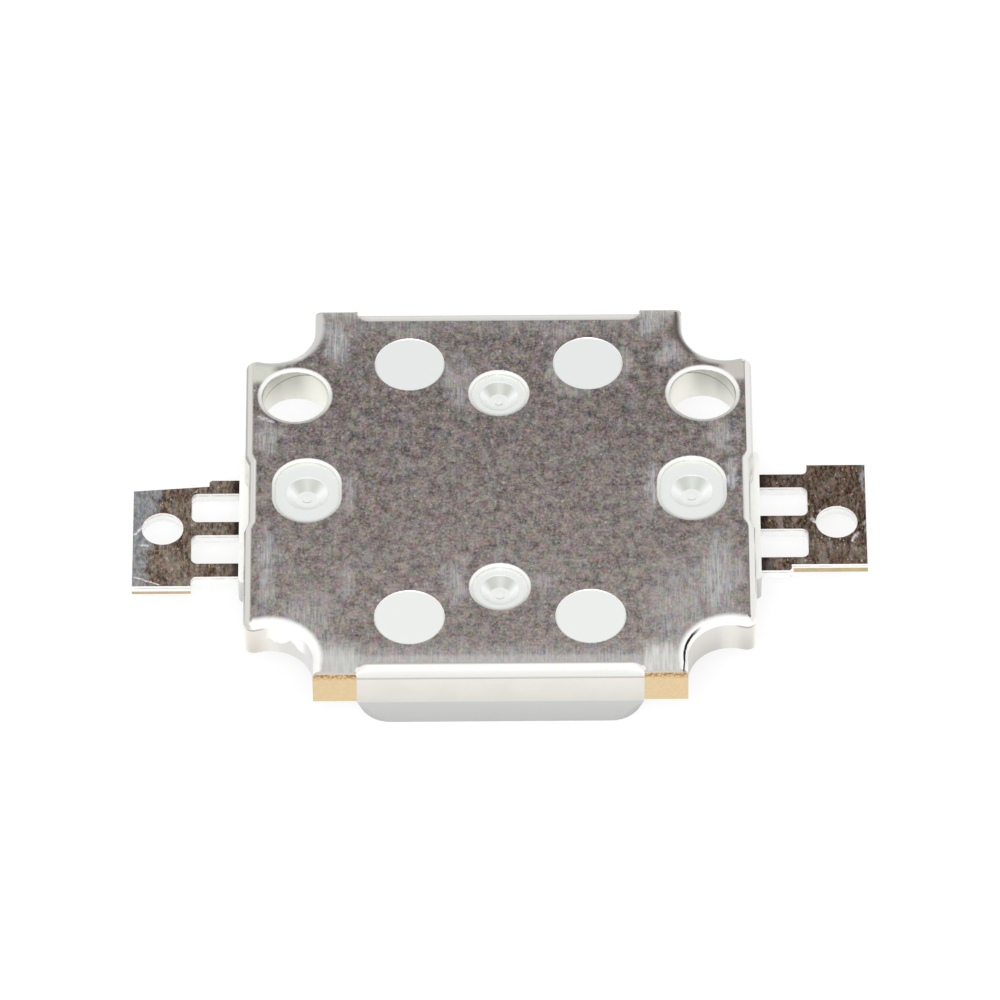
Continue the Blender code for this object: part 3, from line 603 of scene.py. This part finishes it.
def tarnished_lead_plating(name, browns, blue_from, brass_from, brass_below, scratches):
    """Thin nickel and silver over brass: mottled brown, wiped bluish at the tab's end.

    It is nearly black where it leaves the resin. Its stamped walls are bright, and brass shows where
    the strip broke off below them."""
    material, tree, shader = new_material(name, 0.38, 1.0)
    spot = spot_of(tree)
    speckle = grain(tree, spot.place, (0.1 * MM, 0.24 * MM, 0.1 * MM), 3.0, 0.7)
    patches = grain(tree, spot.place, (0.4 * MM, 0.8 * MM, 0.4 * MM), 3.0, 0.6)
    glints = grain(tree, spot.place, (0.11 * MM, 0.2 * MM, 0.1 * MM), 1.0, 0.4)

    worn = summed(tree, -0.06, (share(tree, (spot.y, 1.5 * MM, -2 * MM)), 0.11), (patches, 1.0))
    brown = layered(
        tree,
        browns[0],
        (share(tree, (speckle, 0.34, 0.68)), browns[1]),
        (share(tree, (worn, 0.48, 0.7), 0.45), "A79D92"),
        (share(tree, (glints, 0.66, 0.8), 0.6), "DCCFBE"),
    )
    blue = layered(tree, "727375", (share(tree, (speckle, 0.3, 0.7)), "A2A4A5"))
    slanted = summed(tree, -1.5 * MM, (spot.side, 1.0), (patches, 3.0 * MM), (spot.y, 0.13))
    face = layered(tree, brown, (share(tree, (slanted, blue_from, blue_from + 0.5 * MM)), blue))
    face = scratched(tree, spot, face, scratches, "E4E3E6")
    face = layered(tree, face, (share(tree, (spot.side, 10.75 * MM, 10.35 * MM), 0.85), "1E1613"))
    face = tinted(tree, face, spot.place, 0.14 * MM, 0.8)

    mottled = share(tree, (patches, 0.35, 0.65))
    line = share(
        tree,
        (spot.z, LEAD_Z - 0.16 * MM, LEAD_Z - 0.14 * MM),
        (spot.z, LEAD_Z - 0.08 * MM, LEAD_Z - 0.1 * MM),
        (patches, 0.3, 0.6),
        0.7,
    )
    bare = share(
        tree,
        (spot.along, 2.0 * MM, 2.03 * MM),
        (spot.side, brass_from, brass_from + 0.06 * MM),
        (spot.z, LEAD_Z - brass_below, LEAD_Z - brass_below - 0.05 * MM),
    )
    wall = layered(
        tree,
        "FAFAF8",
        (mottled, "FDFDFC"),
        (line, "C4C0BB"),
        (bare, layered(tree, "B7AE84", (mottled, "CDB48A"))),
    )
    color = layered(tree, face, (share(tree, (spot.lean, 0.3, 0.6)), wall))
    finish(tree, shader, color, (patches, 0.3, 0.5), speckle, 0.005 * MM)
    return material


def gallium_nitride_die():
    """A sapphire chip with a blue-grey epitaxial face and fine gold contact fingers."""
    material, tree, shader = new_material("gallium_nitride_die", 0.2, 0.3)
    place = add(tree, "ShaderNodeTexCoord").outputs["Object"]
    finger_spacing = 0.045 * MM
    inputs = {"Vector": place, "Scale": 1 / (2 * math.pi * finger_spacing), "Distortion": 0.0}
    wave = add(tree, "ShaderNodeTexWave", inputs, bands_direction="Y").outputs["Fac"]
    tint = grain(tree, place, (0.5 * MM, 0.5 * MM, 0.2 * MM))
    color = layered(tree, "46617F", (tint, "6C86A3"), (share(tree, (wave, 0.9, 0.97)), "D9B25C"))
    finish(tree, shader, color)
    return material


def cured_silver_paste():
    """Silver flake in epoxy, dispensed and cured: matt, pale grey and grainy."""
    material, tree, shader = new_material("cured_silver_paste", 0.55, 0.85)
    place = add(tree, "ShaderNodeTexCoord").outputs["Object"]
    flake = grain(tree, place, (0.04 * MM, 0.04 * MM, 0.04 * MM), 3.0, 0.7)
    finish(tree, shader, layered(tree, "8F8F8C", (flake, "D2D2CF")), relief=flake, depth=0.006 * MM)
    return material


def drawn_gold_wire():
    """Drawn gold: bright yellow with faint die lines along the wire."""
    material, tree, shader = new_material("drawn_gold_wire", 0.22, 1.0)
    place = add(tree, "ShaderNodeTexCoord").outputs["Object"]
    lines = grain(tree, place, (0.4 * MM, 0.008 * MM, 0.01 * MM))
    finish(tree, shader, layered(tree, "D9A441", (lines, "F2CE7A")))
    return material


def phosphor_in_silicone():
    """Clear silicone full of yellow garnet phosphor: an even yellow with settled grains and a soft gloss."""
    material, tree, shader = new_material("phosphor_in_silicone", 0.28)
    place = add(tree, "ShaderNodeTexCoord").outputs["Object"]
    grains = grain(tree, place, (0.05 * MM, 0.05 * MM, 0.05 * MM), 2.0, 0.6)
    settled = grain(tree, place, (1.8 * MM, 1.8 * MM, 1.0 * MM), 3.0, 0.5)
    color = layered(
        tree,
        "E2B52E",
        (share(tree, (settled, 0.3, 0.7)), "EFCB4A"),
        (share(tree, (grains, 0.5, 0.8), 0.35), "F6E08A"),
    )
    finish(tree, shader, color, relief=settled, depth=0.02 * MM)
    return material


def dressed(name, material, edge=0.0, bonded=False):
    """A finished copy of a CAD node: welded, smooth across its curves and with a fine broken edge."""
    source = frame["nodes"][name].data
    mesh = bpy.data.meshes.new(name + "_finish")
    corners = [tuple(v.co) for v in source.vertices]
    mesh.from_pydata(corners, [], [list(face.vertices) for face in source.polygons])
    weld_and_flatten(mesh)
    if bonded:
        close_bond_gap(mesh)
    piece = bpy.data.objects.new(name + "_finish", mesh)
    bpy.context.scene.collection.objects.link(piece)
    mesh.materials.append(material)
    mesh.shade_smooth()
    mesh.set_sharp_from_angle(angle=SMOOTH_BEND)
    if edge:
        broken = piece.modifiers.new("broken_edge", "BEVEL")
        broken.width = edge
        broken.segments = 2
        broken.limit_method = "ANGLE"
        broken.angle_limit = SHARP_BEND
        broken.harden_normals = True
    even = piece.modifiers.new("even_shading", "WEIGHTED_NORMAL")
    even.mode = "FACE_AREA_WITH_ANGLE"
    even.keep_sharp = True
    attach(piece, "root")
    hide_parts(name)
    return piece


def weld_and_flatten(mesh):
    """Joins the CAD mesh's corners and its flat neighbours, so that smooth shading runs across them."""
    shape = bmesh.new()
    shape.from_mesh(mesh)
    bmesh.ops.remove_doubles(shape, verts=shape.verts, dist=WELD_REACH)
    bmesh.ops.dissolve_limit(shape, angle_limit=FLAT_BEND, verts=shape.verts, edges=shape.edges)
    shape.to_mesh(mesh)
    shape.free()


def close_bond_gap(mesh):
    """Moves the resin's walls out to the plate that they're bonded to, where the CAD keeps clear."""
    shape = bmesh.new()
    shape.from_mesh(mesh)
    shape.normal_update()
    pushes = {}
    for face in shape.faces:
        middle = face.calc_center_median()
        in_plate = abs(middle.x) < SIDE_X - BOND_GAP and abs(middle.y) < SHEAR_Y - BOND_GAP
        if in_plate and middle.z > FRONT_Z and abs(face.normal.z) < 0.1:
            for vertex in face.verts:
                pushes[vertex] = pushes.get(vertex, Vector()) + face.normal
    for vertex, push in pushes.items():
        vertex.co += push.normalized() * BOND_GAP
    shape.to_mesh(mesh)
    shape.free()


def pale_floor():
    """A white floor that keeps the object's soft shadow and shows white to the camera and to metal."""
    bpy.ops.mesh.primitive_plane_add(size=FLOOR_SIZE, location=(0.0, 0.0, -FLOOR_DROP))
    floor = bpy.context.object
    floor.name = "floor"
    material = bpy.data.materials.new("white_paper")
    material.use_nodes = True
    tree = material.node_tree
    tree.nodes.clear()
    ray = add(tree, "ShaderNodeLightPath").outputs
    seen = largest(tree, ray["Is Camera Ray"], ray["Is Glossy Ray"])
    paper = add(tree, "ShaderNodeBsdfDiffuse", {"Color": linear("909090")})
    glow = add(tree, "ShaderNodeEmission", {"Color": (1, 1, 1, 1), "Strength": FLOOR_GLOW})
    lit = add(tree, "ShaderNodeAddShader", {0: paper.outputs[0], 1: glow.outputs[0]})
    shown = add(tree, "ShaderNodeMixShader", {0: seen, 1: paper.outputs[0], 2: lit.outputs[0]})
    add(tree, "ShaderNodeOutputMaterial", {"Surface": shown.outputs[0]})
    floor.data.materials.append(material)


def white_sky():
    """An even white tent that lights softly and shows pure white where it is seen or mirrored."""
    world = bpy.data.worlds.new("white_sky")
    bpy.context.scene.world = world
    world.use_nodes = True
    tree = world.node_tree
    tree.nodes.clear()
    ray = add(tree, "ShaderNodeLightPath").outputs
    seen = largest(tree, ray["Is Camera Ray"], ray["Is Glossy Ray"], ray["Is Transmission Ray"])
    strength = summed(tree, SKY_STRENGTH, (seen, 1.0 - SKY_STRENGTH))
    sky = add(tree, "ShaderNodeBackground", {"Color": (1, 1, 1, 1), "Strength": strength})
    add(tree, "ShaderNodeOutputWorld", {"Surface": sky.outputs[0]})


def key_lamp():
    lamp = bpy.data.lights.new("key_lamp", "AREA")
    lamp.energy = KEY_WATTS
    lamp.size = KEY_SIZE
    holder = bpy.data.objects.new("key_lamp", lamp)
    bpy.context.scene.collection.objects.link(holder)
    holder.location = KEY_PLACE
    holder.rotation_euler = (-Vector(KEY_PLACE)).to_track_quat("-Z", "Y").to_euler()


def camera_of_the_photo():
    """The camera that the photo was fitted with, aimed at the middle of the heat-sink face."""
    lens = bpy.data.cameras.new("camera")
    lens.lens = lens.sensor_width / 2 / math.tan(FIELD_OF_VIEW / 2)
    lens.clip_start = 10 * MM
    lens.clip_end = 10.0
    camera = bpy.data.objects.new("camera", lens)
    bpy.context.scene.collection.objects.link(camera)
    bpy.context.scene.camera = camera
    level_reach = math.cos(CAMERA_ELEVATION)
    forward = Vector(
        (
            math.sin(CAMERA_YAW) * level_reach,
            math.cos(CAMERA_YAW) * level_reach,
            -math.sin(CAMERA_ELEVATION),
        )
    )
    level = Vector((math.cos(CAMERA_YAW), -math.sin(CAMERA_YAW), 0.0))
    upright = level.cross(forward)
    right = level * math.cos(CAMERA_ROLL) - upright * math.sin(CAMERA_ROLL)
    up = level * math.sin(CAMERA_ROLL) + upright * math.cos(CAMERA_ROLL)
    aim = Vector((0.0, 0.0, BACK_Z)) + right * AIM_RIGHT + up * AIM_UP
    turn = Matrix((right, up, -forward)).transposed().to_4x4()
    camera.matrix_world = Matrix.Translation(aim - forward * CAMERA_DISTANCE) @ turn


def dress_the_inside():
    """Gives the pieces behind the plate their own materials. They keep their CAD shapes."""
    finishes = {
        "led_die": gallium_nitride_die(),
        "silver_paste": cured_silver_paste(),
        "gold_wire": drawn_gold_wire(),
        "phosphor_silicone": phosphor_in_silicone(),
    }
    for name, node in frame["nodes"].items():
        if slots[name] in finishes:
            node.data.materials.clear()
            node.data.materials.append(finishes[slots[name]])


left_plating = tarnished_lead_plating(
    "tarnished_left_plating",
    browns=("463830", "918273"),
    blue_from=13.3 * MM,
    brass_from=12.1 * MM,
    brass_below=0.28 * MM,
    scratches=LEFT_SCRATCHES,
)
right_plating = tarnished_lead_plating(
    "tarnished_right_plating",
    browns=("34271F", "7B6A5D"),
    blue_from=14.4 * MM,
    brass_from=11.5 * MM,
    brass_below=0.2 * MM,
    scratches=RIGHT_SCRATCHES,
)
dressed("base_plate", nickel_plated_copper(), PLATE_BROKEN_EDGE)
dressed("housing_frame", moulded_white_resin(), RESIN_BROKEN_EDGE, bonded=True)
dressed("lead_left", left_plating)
dressed("lead_right", right_plating)
dress_the_inside()
pale_floor()
white_sky()
key_lamp()
camera_of_the_photo()
bpy.context.scene.view_settings.view_transform = "Standard"
